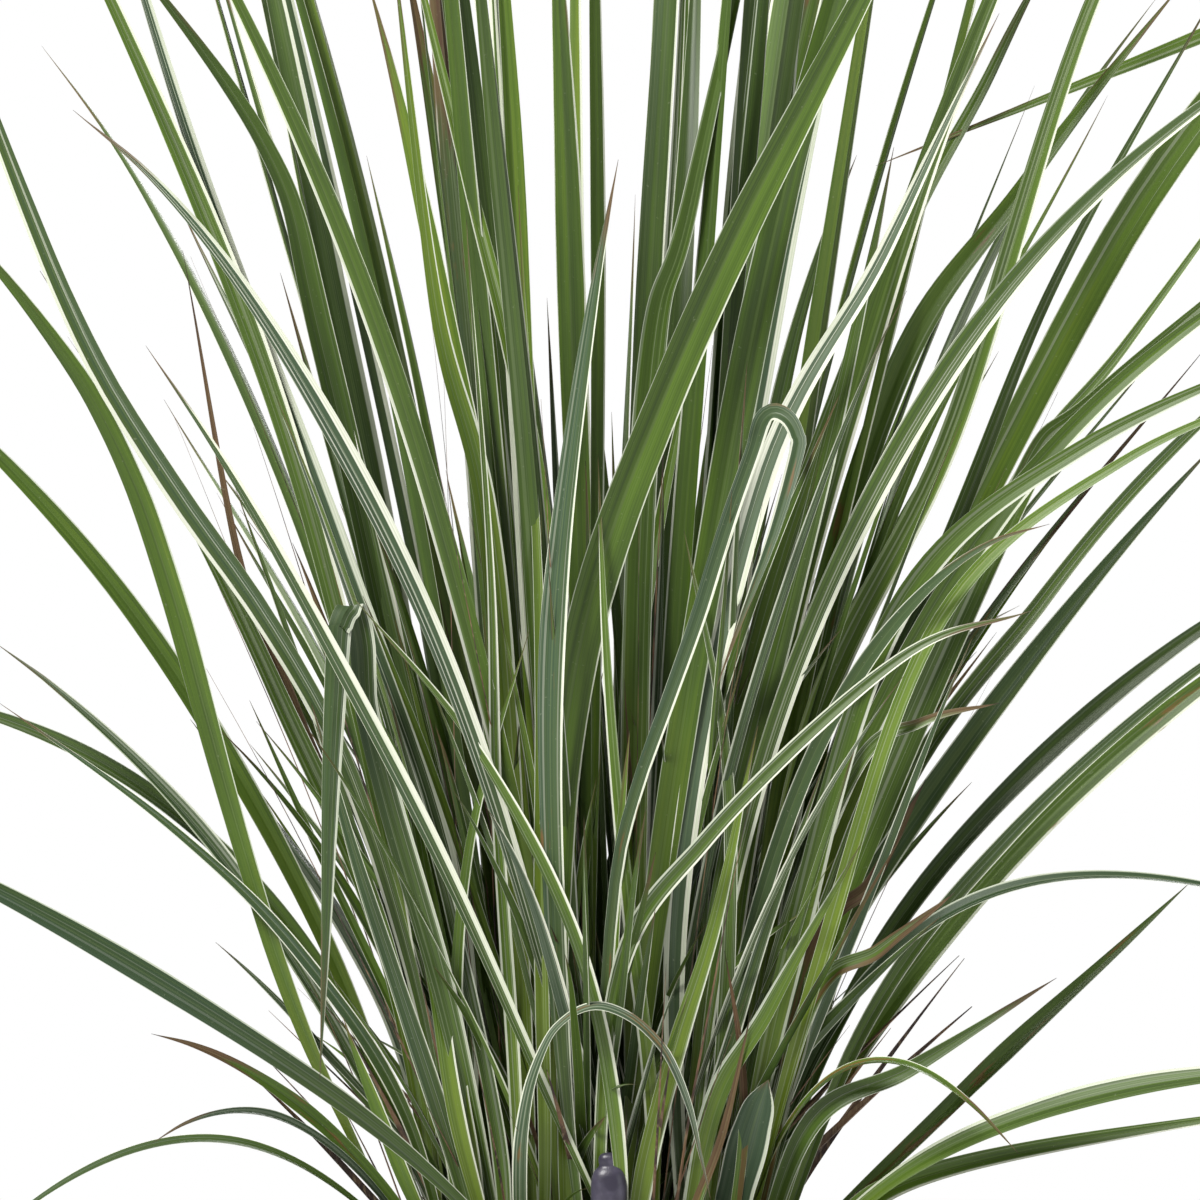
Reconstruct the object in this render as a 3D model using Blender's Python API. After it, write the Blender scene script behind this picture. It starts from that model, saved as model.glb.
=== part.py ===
"""A clump of variegated feather reed grass in a round nursery pot.

The origin is the middle of the pot's underside, +Z is up and the front of the clump faces -Y.
Sizes below are in millimetres and become metres where meshes are made. Plants are laid out
from the crown, the point where the pot's axis meets the top of the soil.
"""

import math
from collections import namedtuple

import bmesh
import bpy
from mathutils import Matrix, Vector
from mathutils.bvhtree import BVHTree

MM = 0.001
GAP = 0.3  # air left between pieces that touch

# Pot
POT_HEIGHT = 150.0
POT_FOOT_RADIUS = 68.0
POT_RIM_RADIUS = 95.0
POT_WALL = 1.6
POT_FLOOR = 2.4
RIM_DEPTH = 15.0
RIM_STEP = 3.2  # how far the rim band stands out from the wall
RIM_WIDTH = 3.4  # of the rolled top edge
POT_SIDES = 48
DRAIN_HOLES = 8
DRAIN_HOLE_RADIUS = 4.5
DRAIN_HOLE_SIDES = 12
DRAIN_RING_RADIUS = 50.0

# Soil
SOIL_TOP = 132.0
SOIL_FLOOR = POT_FLOOR + GAP
SOIL_EDGE = 2.0  # the fall of its top beside the wall
FLOOR_FILLET = 2.6  # height of the pot's inner corner

# Label stake, heights above the soil
STAKE_WIDTH = 10.6
STAKE_DEPTH = 7.6
STAKE_TOP = 59.0
STAKE_BURIED = 62.0
STAKE_POINT = 8.0
STAKE_PLACE = (2.6, -63.0)
STAKE_SIDES = 16
# depth below the top and share of the full section: shoulders, neck and a small knob
STAKE_HEAD = (
    (13.0, 1.0),
    (9.0, 0.97),
    (6.0, 0.84),
    (4.4, 0.62),
    (3.6, 0.56),
    (1.6, 0.58),
    (0.4, 0.46),
    (0.0, 0.24),
)

# Shoots
SHOOT_COUNT = 18
SHOOT_CROWN_RADIUS = 31.0
SHOOT_SIDES = 6
SHOOT_RINGS = 9
SHOOT_WIDTH = 14.0
SHOOT_DEPTH = 8.0
SHOOT_LENGTH = 560.0
SHOOT_SHORTEST = 0.88  # share of the longest
SHOOT_SPREAD = 2.6  # how much further from the axis a shoot's tip is than its foot, per foot radius
SHOOT_TWIST = 0.6  # radians from foot to tip
GOLDEN_ANGLE = math.radians(137.508)

# Leaves
LEAF_RINGS = 10
SPAN_RINGS = 3  # between two stops of a swayed leaf
LEAF_THICKNESS = 0.9
INNER_RING = 39.0
OUTER_RING = 45.5
EDGE_RING = 51.5
LEAF_GUARD = 0.5  # extra half thickness kept free round a leaf
SWING_STEP, MOST_SWING = 2, 18  # degrees round the crown
LIFT_STEP, MOST_LIFT = 3, 15  # mm sideways at the waist

# azimuth: where on the crown the leaf stands, in degrees from +X towards +Y
# ring: distance of its foot from the axis
# waist: the point that the blade passes half way, tip: where it ends
# width: at its widest; face, pitch: azimuth and elevation of the side that the blade shows
# taper: how late the blade narrows, a high value for a blunt end
Leaf = namedtuple("Leaf", "azimuth ring waist tip width face pitch taper", defaults=(3.2,))

# A leaf that sways, folds or hangs passes every stop of its route instead
SwayedLeaf = namedtuple("SwayedLeaf", "azimuth ring route width face pitch taper", defaults=(3.2,))

LEAVES = (
    # leaning left
    Leaf(196, OUTER_RING, (-86, -52, 247), (-180, -95, 470), 8.5, -100, 10),
    Leaf(284, INNER_RING, (-58, -96, 232), (-149, -128, 358), 8.0, -80, 15),
    Leaf(176, OUTER_RING, (-110, -10, 172), (-232, -22, 310), 8.0, -90, 20),
    Leaf(166, INNER_RING, (-104, 16, 128), (-184, 24, 207), 7.0, -85, 20),
    Leaf(158, OUTER_RING, (-110, 30, 138), (-240, 44, 196), 7.5, -90, 25),
    Leaf(263, OUTER_RING, (-95, -88, 90), (-248, -118, 172), 8.5, -90, 20),
    Leaf(201, INNER_RING, (-80, -30, 62), (-132, -44, 92), 6.5, -95, 30),
    Leaf(209, OUTER_RING, (-84, -52, 63), (-130, -76, 62), 7.0, -95, 60),
    Leaf(182, INNER_RING, (-112, -14, 58), (-192, -26, 20), 5.5, -90, 60),
    Leaf(222, OUTER_RING, (-58, -48, 52), (-75, -58, 98), 6.0, -95, 10),
    # crossing the front
    Leaf(292, OUTER_RING, (-55, -92, 163), (-128, -126, 292), 6.5, -90, 15),
    Leaf(262, INNER_RING, (-44, -74, 236), (-140, -92, 458), 8.5, -95, 10),
    Leaf(279, INNER_RING, (38, -70, 262), (100, -84, 500), 11.0, -90, 5),
    Leaf(270, OUTER_RING, (-8, -80, 172), (5, -98, 346), 9.5, -90, 5),
    Leaf(313, OUTER_RING, (39, -48, 42), (49, -64, 80), 12.0, -100, 5, 14.0),
    # leaning right
    Leaf(306, OUTER_RING, (79, -70, 250), (224, -104, 392), 9.5, -90, 20),
    Leaf(320, INNER_RING, (64, -44, 242), (150, -66, 478), 9.0, -85, 10),
    Leaf(346, INNER_RING, (74, -24, 124), (184, -34, 268), 8.5, -90, 20),
    Leaf(299, INNER_RING, (60, -66, 174), (129, -92, 242), 8.0, -90, 15),
    Leaf(328, OUTER_RING, (90, -48, 204), (222, -76, 330), 9.0, -95, 20),
    Leaf(12, OUTER_RING, (104, 8, 142), (246, 14, 246), 8.0, -88, 22),
    Leaf(354, OUTER_RING, (102, -18, 120), (238, -34, 236), 9.5, -90, 20),
    Leaf(337, OUTER_RING, (100, -46, 126), (232, -74, 119), 6.5, -90, 50),
    Leaf(24, INNER_RING, (106, 24, 66), (180, 34, 134), 7.0, -84, 28),
    Leaf(333, EDGE_RING, (114, -54, 65), (228, -92, 84), 9.5, -90, 35),
    Leaf(319, OUTER_RING, (68, -60, 81), (121, -84, 60), 6.5, -90, 65),
    # round the back
    Leaf(28, OUTER_RING, (84, 58, 236), (176, 118, 410), 8.5, 40, 15),
    Leaf(46, INNER_RING, (72, 92, 150), (138, 206, 218), 8.0, 60, 25),
    Leaf(62, OUTER_RING, (48, 112, 236), (84, 214, 366), 9.0, 75, 15),
    Leaf(84, INNER_RING, (10, 106, 132), (22, 226, 168), 8.0, 85, 30),
    Leaf(101, OUTER_RING, (-22, 98, 240), (-52, 186, 430), 9.5, 100, 10),
    Leaf(122, INNER_RING, (-66, 98, 158), (-124, 204, 262), 8.5, 115, 20),
    Leaf(140, OUTER_RING, (-86, 70, 228), (-178, 132, 396), 8.0, 140, 15),
)

SWAYED_LEAVES = (
    # a striped blade on the left that leans out and then straightens up
    SwayedLeaf(
        214,
        OUTER_RING,
        ((-52, -48, 96), (-80, -70, 184), (-141, -92, 280), (-174, -104, 362), (-200, -112, 436)),
        8.0, -105, 15,
    ),
    # a broad green blade on the left, bowed out at the top
    SwayedLeaf(
        188,
        OUTER_RING,
        ((-84, -36, 86), (-108, -46, 160), (-132, -54, 243), (-153, -60, 285), (-200, -74, 345)),
        10.0, -95, 10,
    ),
    # the broadest blade, upright at first and then straight across to the right
    SwayedLeaf(
        254,
        OUTER_RING,
        ((-14, -62, 110), (-4, -76, 212), (28, -86, 300), (74, -94, 392), (108, -100, 462)),
        11.5, -80, 5,
    ),
    # a narrow hoop low in the middle
    SwayedLeaf(
        244,
        OUTER_RING,
        ((-23, -60, 56), (-15, -70, 92), (1, -75, 102), (20, -76, 86), (32, -72, 46)),
        6.0, -90, 65,
    ),
    # up on the right of the middle, folded over at the top and back down
    SwayedLeaf(
        271,
        INNER_RING + 2,
        ((4, -88, 140), (28, -96, 214), (44, -99, 262), (50, -102, 273), (56, -106, 262),
         (34, -110, 194)),
        9.0, -90, 20,
    ),
    # out to the left, with its broad end hanging
    SwayedLeaf(
        232,
        INNER_RING,
        ((-46, -62, 108), (-66, -78, 186), (-71, -84, 217), (-76, -90, 208), (-81, -96, 82)),
        9.5, -90, 15,
    ),
)


def clear_scene():
    for obj in list(bpy.data.objects):
        bpy.data.objects.remove(obj, do_unlink=True)


def finish(name, colour, roughness):
    material = bpy.data.materials.new(name)
    material.use_nodes = True
    shader = material.node_tree.nodes["Principled BSDF"]
    shader.inputs["Base Color"].default_value = (*colour, 1.0)
    shader.inputs["Roughness"].default_value = roughness
    shader.inputs["Metallic"].default_value = 0.0
    return material


def wall_between(mesh, lower, upper):
    """Triangles between two rings. Each side is split along the diagonal that stays further
    out, so that a thin blade that twists doesn't cut through itself."""
    middle = sum((corner.co for corner in (*lower, *upper)), Vector()) / (2 * len(lower))
    for i in range(len(lower)):
        j = (i + 1) % len(lower)
        a, b, c, d = lower[i], lower[j], upper[j], upper[i]
        rising = ((a.co + c.co) / 2 - middle).length
        falling = ((b.co + d.co) / 2 - middle).length
        if rising >= falling:
            mesh.faces.new((a, b, c))
            mesh.faces.new((a, c, d))
        else:
            mesh.faces.new((a, b, d))
            mesh.faces.new((b, c, d))


def ring_mesh(rings, apex=None):
    """A closed body from rings of points, all in mm: capped at the foot, and at the far end too
    unless it runs out to an apex."""
    mesh = bmesh.new()
    levels = [[mesh.verts.new(Vector(point) * MM) for point in ring] for ring in rings]
    for lower, upper in zip(levels, levels[1:]):
        wall_between(mesh, lower, upper)
    mesh.faces.new(tuple(reversed(levels[0])))
    top = levels[-1]
    if apex is None:
        mesh.faces.new(top)
    else:
        point = mesh.verts.new(Vector(apex) * MM)
        for i in range(len(top)):
            mesh.faces.new((top[i], top[(i + 1) % len(top)], point))
    bmesh.ops.recalc_face_normals(mesh, faces=mesh.faces)
    return mesh


def add_object(name, mesh, material, smooth=False):
    data = bpy.data.meshes.new(name)
    mesh.to_mesh(data)
    mesh.free()
    data.materials.append(material)
    if smooth:
        data.shade_smooth()
        data.set_sharp_from_angle(angle=math.radians(35))
    obj = bpy.data.objects.new(name, data)
    bpy.context.scene.collection.objects.link(obj)
    return obj


def circle(radius, height, sides, centre=(0.0, 0.0)):
    angles = [math.tau * i / sides for i in range(sides)]
    return [
        (centre[0] + radius * math.cos(a), centre[1] + radius * math.sin(a), height)
        for a in angles
    ]


def cut(obj, cutter):
    """Takes the cutter's shape out of the object. The cutter stays as a hidden helper."""
    cutter.hide_render = True
    cutter.display_type = "WIRE"
    modifier = obj.modifiers.new("cut_" + cutter.name, "BOOLEAN")
    modifier.operation = "DIFFERENCE"
    modifier.solver = "EXACT"
    modifier.object = cutter


# ---------------------------------------------------------------- pot, soil and stake


def pot_inner_radius(height):
    """Radius of the pot's inner wall at a height above its underside, up to the rim band."""
    bottom = POT_FOOT_RADIUS - POT_WALL
    top = POT_RIM_RADIUS - RIM_STEP - POT_WALL
    return bottom + (top - bottom) * height / (POT_HEIGHT - RIM_DEPTH)


def pot_profile():
    """Radius and height from the middle of the wall's top, down the outside, under the floor
    and up the inside."""
    shoulder = POT_HEIGHT - RIM_DEPTH
    outside = [
        (POT_RIM_RADIUS - 1.2, POT_HEIGHT),
        (POT_RIM_RADIUS, POT_HEIGHT - 1.4),
        (POT_RIM_RADIUS, POT_HEIGHT - 3.6),
        (POT_RIM_RADIUS - 1.0, POT_HEIGHT - 4.8),
        (POT_RIM_RADIUS - 1.6, shoulder + 1.0),
        (POT_RIM_RADIUS - RIM_STEP, shoulder),
        (POT_FOOT_RADIUS + 0.5, 3.0),
        (POT_FOOT_RADIUS - 2.0, 0.0),
    ]
    corner = POT_FLOOR + FLOOR_FILLET
    inside = [
        (pot_inner_radius(POT_FLOOR) - 1.0, POT_FLOOR),
        (pot_inner_radius(corner), corner),
        (pot_inner_radius(shoulder), shoulder + 1.0),
        (POT_RIM_RADIUS - RIM_WIDTH - 0.6, POT_HEIGHT - 3.0),
        (POT_RIM_RADIUS - RIM_WIDTH, POT_HEIGHT),
    ]
    return outside, inside


def turned(profile, sides):
    """Rings of points for a closed profile of radius and height."""
    return [circle(radius, height, sides) for radius, height in profile]


def make_pot():
    outside, inside = pot_profile()
    wall = turned([*reversed(outside), *reversed(inside)], POT_SIDES)
    pot = add_object("pot", ring_mesh(wall), finish("pot", (0.022, 0.022, 0.024), 0.5), True)
    for i in range(DRAIN_HOLES):
        angle = math.tau * (i + 0.5) / DRAIN_HOLES
        centre = (DRAIN_RING_RADIUS * math.cos(angle), DRAIN_RING_RADIUS * math.sin(angle))
        drill_ends = (-2 * POT_FLOOR, 3 * POT_FLOOR)
        rings = [circle(DRAIN_HOLE_RADIUS, end, DRAIN_HOLE_SIDES, centre) for end in drill_ends]
        drill = add_object(f"drain_drill_{i + 1}", ring_mesh(rings), pot.data.materials[0])
        cut(pot, drill)


def stake_mesh(head, extra=0.0):
    """The stake's flattened round body below a head of (height, share of its section), grown
    by extra mm all round."""
    shank = [(-STAKE_BURIED - extra, 0.55), (-STAKE_BURIED + STAKE_POINT, 0.86)]
    rings = []
    for height, share in (*shank, *head):
        half_width = STAKE_WIDTH / 2 * share + extra
        half_depth = STAKE_DEPTH / 2 * share + extra
        ring = circle(1.0, SOIL_TOP + height, STAKE_SIDES)
        rings.append(
            [
                (STAKE_PLACE[0] + half_width * x, STAKE_PLACE[1] + half_depth * y, z)
                for x, y, z in ring
            ]
        )
    return ring_mesh(rings)


def make_stake():
    """A blank flattened peg with rounded shoulders and a small knob, pushed into the soil."""
    head = [(STAKE_TOP - depth, share) for depth, share in STAKE_HEAD]
    dark = finish("label_stake", (0.018, 0.016, 0.026), 0.4)
    add_object("label_stake", stake_mesh(head), dark, smooth=True)


def make_soil():
    corner = POT_FLOOR + FLOOR_FILLET
    edge = SOIL_TOP - SOIL_EDGE
    edge_radius = pot_inner_radius(edge) - 1.5 * GAP
    profile = [
        (pot_inner_radius(SOIL_FLOOR) - 5 * GAP, SOIL_FLOOR),
        (pot_inner_radius(corner) - GAP, corner + GAP),
        (edge_radius, edge),
        (edge_radius - SOIL_EDGE, SOIL_TOP),
    ]
    earth = finish("soil", (0.030, 0.018, 0.011), 0.95)
    soil = add_object("soil", ring_mesh(turned(profile, POT_SIDES)), earth)
    cut(soil, add_object("stake_socket", stake_mesh([(STAKE_TOP, 1.0)], GAP), earth))


# ---------------------------------------------------------------- blades


def through(root, waist, tip, count):
    """Points along the parabola that leaves the root, passes the waist half way and ends at
    the tip."""
    knee = 2.0 * waist - 0.5 * (root + tip)
    points = []
    for i in range(count):
        t = i / (count - 1)
        points.append((1 - t) ** 2 * root + 2 * t * (1 - t) * knee + t * t * tip)
    return points


def smooth_route(stops, per_span):
    """Points on a curve that passes every stop, closer together where the stops are."""
    ends = [2 * stops[0] - stops[1], *stops, 2 * stops[-1] - stops[-2]]
    points = []
    for a, b, c, d in zip(ends, ends[1:], ends[2:], ends[3:]):
        reach = (c - b).length
        before = (c - a).normalized() * reach
        after = (d - b).normalized() * reach
        for i in range(per_span):
            t = i / per_span
            points.append(
                (2 * t**3 - 3 * t**2 + 1) * b
                + (t**3 - 2 * t**2 + t) * before
                + (3 * t**2 - 2 * t**3) * c
                + (t**3 - t**2) * after
            )
    return [*points, stops[-1]]


def tangents(points):
    last = len(points) - 1
    return [
        (points[min(i + 1, last)] - points[max(i - 1, 0)]).normalized() for i in range(last + 1)
    ]


def foot_of(azimuth, ring):
    angle = math.radians(azimuth)
    return Vector((ring * math.cos(angle), ring * math.sin(angle), 0.0))


def outlook(azimuth, pitch):
    """The direction at an azimuth and an elevation in degrees."""
    a = math.radians(azimuth)
    p = math.radians(pitch)
    return Vector((math.cos(a) * math.cos(p), math.sin(a) * math.cos(p), math.sin(p)))


def blade_width(share, taper):
    """A grass blade's width along its length: narrow at the sheath, then full, then running
    out to the tip."""
    sheath = 0.58 + 0.42 * min(share / 0.3, 1.0)
    return sheath * (1.0 - share**taper)


def blade_mesh(route, leaf, guard=0.0):
    """A thin closed blade along the route, with a diamond section. It turns from its foot's
    azimuth to the side given by face and pitch over its first quarter."""
    crown = Vector((0.0, 0.0, SOIL_TOP + GAP))
    directions = tangents(route)
    lengths = [0.0]
    for a, b in zip(route, route[1:]):
        lengths.append(lengths[-1] + (b - a).length)
    rings = []
    for point, direction, run in zip(route[:-1], directions, lengths):
        share = run / lengths[-1]
        turn = min(share / 0.25, 1.0)
        aim = outlook(leaf.azimuth, 0.0).lerp(outlook(leaf.face, leaf.pitch), turn)
        normal = (aim - aim.dot(direction) * direction).normalized()
        side = direction.cross(normal)
        fullness = blade_width(share, leaf.taper)
        half_width = leaf.width / 2 * fullness + guard
        half_depth = LEAF_THICKNESS / 2 * (0.5 + 0.5 * fullness) + guard
        middle = crown + point
        corners = (side * half_width, normal * half_depth, -side * half_width, -normal * half_depth)
        rings.append([middle + corner for corner in corners])
    lowest = rings[0]
    for corner in lowest:
        corner.z = crown.z
    return ring_mesh(rings, crown + route[-1] + directions[-1] * guard)


def leaf_route(leaf, swing, lift):
    """The blade's route with its foot moved round the crown by swing degrees and its waist
    moved by lift mm across the way it leans."""
    foot = foot_of(leaf.azimuth + swing, leaf.ring)
    if isinstance(leaf, SwayedLeaf):
        across = Vector((0.0, lift, 0.0))
        stops = [foot, *(Vector(stop) + across for stop in leaf.route)]
        return smooth_route(stops, SPAN_RINGS)
    lean = Vector(leaf.tip) - foot
    across = Vector((-lean.y, lean.x, 0.0)).normalized()
    waist = Vector(leaf.waist) + across * lift
    return through(foot, waist, Vector(leaf.tip), LEAF_RINGS + 1)


def clear_route(name, leaf, placed):
    """The route nearest to the leaf's own that clears every piece placed so far."""
    swings = range(-MOST_SWING, MOST_SWING + 1, SWING_STEP)
    lifts = range(-MOST_LIFT, MOST_LIFT + 1, LIFT_STEP)
    moves = sorted(
        ((swing, lift) for swing in swings for lift in lifts),
        key=lambda move: (abs(move[0]) / SWING_STEP + abs(move[1]) / LIFT_STEP, move),
    )
    for swing, lift in moves:
        route = leaf_route(leaf, swing, lift)
        room = blade_mesh(route, leaf, LEAF_GUARD)
        tree = BVHTree.FromBMesh(room)
        room.free()
        if not any(tree.overlap(other) for other in placed):
            return route
    raise ValueError(f"{name} has no clear place")


def make_leaves(placed):
    tints = ((0.075, 0.145, 0.035), (0.060, 0.125, 0.060), (0.110, 0.190, 0.045))
    for i, leaf in enumerate((*LEAVES, *SWAYED_LEAVES)):
        name = f"leaf_{i + 1:02d}"
        mesh = blade_mesh(clear_route(name, leaf, placed), leaf)
        placed.append(BVHTree.FromBMesh(mesh))
        add_object(name, mesh, finish(name, tints[i % len(tints)], 0.45))


# ---------------------------------------------------------------- shoots


def shoot_spine(number):
    """An erect shoot's middle line. Feet fill the crown in a sunflower pattern and every shoot
    leans out in proportion to its foot's distance, so that no two cross."""
    azimuth = number * GOLDEN_ANGLE
    out = Vector((math.cos(azimuth), math.sin(azimuth), 0.0))
    foot_radius = SHOOT_CROWN_RADIUS * math.sqrt((number + 0.5) / SHOOT_COUNT)
    length_step = (number * 7) % 5 / 4
    length = SHOOT_LENGTH * (1.0 - (1.0 - SHOOT_SHORTEST) * length_step)
    points = []
    for i in range(SHOOT_RINGS):
        share = i / (SHOOT_RINGS - 1)
        lean = 0.75 * share + 0.25 * share**2
        radius = foot_radius * (1.0 + SHOOT_SPREAD * lean * length / SHOOT_LENGTH)
        points.append(radius * out + Vector((0.0, 0.0, length * share)))
    return points, azimuth


def shoot_mesh(spine, azimuth):
    """A slender closed spindle of sheathed blades, broadest a third of the way up."""
    crown = Vector((0.0, 0.0, SOIL_TOP + GAP))
    rings = []
    for i, point in enumerate(spine[:-1]):
        share = i / (len(spine) - 1)
        swell = (0.62 + 0.38 * min(share / 0.35, 1.0)) * (1.0 - share**2.2)
        turn = Matrix.Rotation(azimuth + SHOOT_TWIST * share, 3, "Z")
        size = Vector((SHOOT_DEPTH / 2 * swell, SHOOT_WIDTH / 2 * swell, 0.0))
        section = [Vector(corner) * size for corner in circle(1.0, 0.0, SHOOT_SIDES)]
        rings.append([crown + point + turn @ corner for corner in section])
    return ring_mesh(rings, crown + spine[-1])


def make_shoots(placed):
    for number in range(SHOOT_COUNT):
        name = f"shoot_{number + 1:02d}"
        mesh = shoot_mesh(*shoot_spine(number))
        placed.append(BVHTree.FromBMesh(mesh))
        add_object(name, mesh, finish(name, (0.070, 0.130, 0.040), 0.5))


def tree_of(name):
    mesh = bmesh.new()
    mesh.from_mesh(bpy.data.objects[name].data)
    tree = BVHTree.FromBMesh(mesh)
    mesh.free()
    return tree


def main():
    clear_scene()
    make_pot()
    make_soil()
    make_stake()
    placed = [tree_of("pot"), tree_of("label_stake")]
    make_shoots(placed)
    make_leaves(placed)


main()
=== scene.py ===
"""The look of a potted clump of variegated ornamental grass.

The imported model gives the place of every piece. Each CAD leaf is read back as a run of
cross-sections and becomes a thin folded blade with veins, cream margins and a worn tip. Each
CAD shoot becomes a bundle of blades that fan out round its middle line. Sizes are in metres,
apart from the tables of plants, which are in millimetres from the crown, the point where the
pot's axis meets the soil. The front faces -Y.
"""

import math
import random
from collections import defaultdict, namedtuple

import bmesh
import bpy
import numpy as np
from mathutils import Matrix, Vector, noise


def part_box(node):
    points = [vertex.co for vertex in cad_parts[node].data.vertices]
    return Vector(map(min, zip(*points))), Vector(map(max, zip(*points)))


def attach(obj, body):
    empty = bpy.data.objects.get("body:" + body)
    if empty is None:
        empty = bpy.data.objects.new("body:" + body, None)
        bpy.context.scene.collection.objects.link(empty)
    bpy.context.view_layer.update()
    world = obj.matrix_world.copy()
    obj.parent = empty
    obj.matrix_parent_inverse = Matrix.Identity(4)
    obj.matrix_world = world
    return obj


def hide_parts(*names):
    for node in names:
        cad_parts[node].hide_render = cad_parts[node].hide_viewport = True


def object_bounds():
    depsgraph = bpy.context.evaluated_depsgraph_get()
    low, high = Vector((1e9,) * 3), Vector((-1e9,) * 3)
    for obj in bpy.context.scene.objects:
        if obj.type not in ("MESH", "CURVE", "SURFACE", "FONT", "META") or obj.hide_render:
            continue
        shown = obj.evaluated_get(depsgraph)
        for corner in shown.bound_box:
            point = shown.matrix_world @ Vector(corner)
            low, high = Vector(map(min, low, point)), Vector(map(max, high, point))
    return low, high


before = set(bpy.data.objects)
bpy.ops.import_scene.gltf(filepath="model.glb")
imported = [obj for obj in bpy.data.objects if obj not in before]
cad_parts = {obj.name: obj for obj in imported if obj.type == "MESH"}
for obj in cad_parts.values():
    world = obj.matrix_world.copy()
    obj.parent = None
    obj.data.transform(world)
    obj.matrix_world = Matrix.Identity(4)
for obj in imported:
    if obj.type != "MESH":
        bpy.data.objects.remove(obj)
cad_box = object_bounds()

MM = 0.001
CROWN_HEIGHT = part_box("soil")[1][2]

# Camera and light
EYE_HEIGHT = 0.352
EYE_DISTANCE = 2.2
VIEW_WIDTH = 0.36  # across the frame, at the pot's axis
SENSOR_WIDTH = 36.0  # millimetres, as Blender counts it
FLOOR_RADIUS = 2.0
AMBIENT = 0.27  # how strongly the world lights the plant; the backdrop itself stays white

# Pot
POT_WALL = 1.6 * MM
POT_SIDES = 144
FLOOR_THICKNESS = 2.4 * MM
FOOT_EDGE = 3.0 * MM  # radius of the rounded edge that the pot stands on
RIM_BAND = 15 * MM  # height of the wider band under the rim
BEADS = (22 * MM, 112 * MM)  # heights of the raised rings round the wall
DRAIN_HOLES = 8
DRAIN_RING = 50 * MM
DRAIN_RADIUS = 4.5 * MM

# Soil
SOIL_SIDES = 160
SOIL_STEPS = 46

# Stake
STAKE_SIDES = 64
SHANK_STEPS = 60
SQUARENESS = 0.86  # 1 for an oval section, less for a squarer one
NOTCH_DEPTH = 0.5 * MM
# From the top of the peg: depth in millimetres, and width as a share of the full width
STAKE_HEAD = (
    (0.0, 0.10), (0.15, 0.30), (0.5, 0.44), (1.1, 0.54), (1.9, 0.58), (2.8, 0.57), (3.5, 0.54),
    (4.0, 0.55), (4.6, 0.66), (5.4, 0.80), (6.4, 0.89), (7.6, 0.95), (9.0, 0.985), (10.5, 1.0),
)

# Blade section: places across the top from edge to edge, as shares of the half width
ACROSS = (-1.0, -0.55, -0.12, 0.0, 0.12, 0.55, 1.0)
BLADE_THICKNESS = 0.42 * MM
STALK_THICKNESS = 0.7 * MM
KEEL = 0.30 * MM  # how far the midrib stands out below
LEAST_HALF_WIDTH = 0.05 * MM
BOX_SPARE = 4 * MM  # how far a blade may pass the CAD box
OPEN_FROM = 0.62  # share of a leaf's length over which it opens out of its folded foot
BACK_FROM = 50 * MM  # from here on, along Y, a leaf belongs to the back of the clump
LEAF_RINGS = 56
FAN_RINGS = 36
STALK_RINGS = 14
SPINE_ROWS = 200

BACK_BLADES = 30
SHORT_STALKS = 110
TALL_STALKS = 46
STALK_WIDTHS = (0.9, 1.2, 1.6, 3.2, 4.4)  # millimetres

# What a blade looks like.
# hue: 0 yellow-green, 0.5 deep green, 1 grey-blue green
# margin: share of the half width that is cream; skew: how much more of it on one side
# stripe: how much cream striping inside; tip: share of the length that has dried
# blotch: how much red-brown spotting; pale: how far the green is washed out
# fold: rise of the edges over the midrib, per half width
# girth: how wide it is per CAD width; foot: how much of that is left at its folded foot
# inner: how deep in the clump its lower half is, out of the light, which is painted on as shade that
# darkens it
Look = namedtuple(
    "Look", "hue margin skew stripe tip blotch pale fold girth foot inner",
    defaults=(0.5, 0.14, 0.0, 0.2, 0.04, 0.0, 0.0, 0.35, 1.0, 0.28, 0.4),
)

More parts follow.
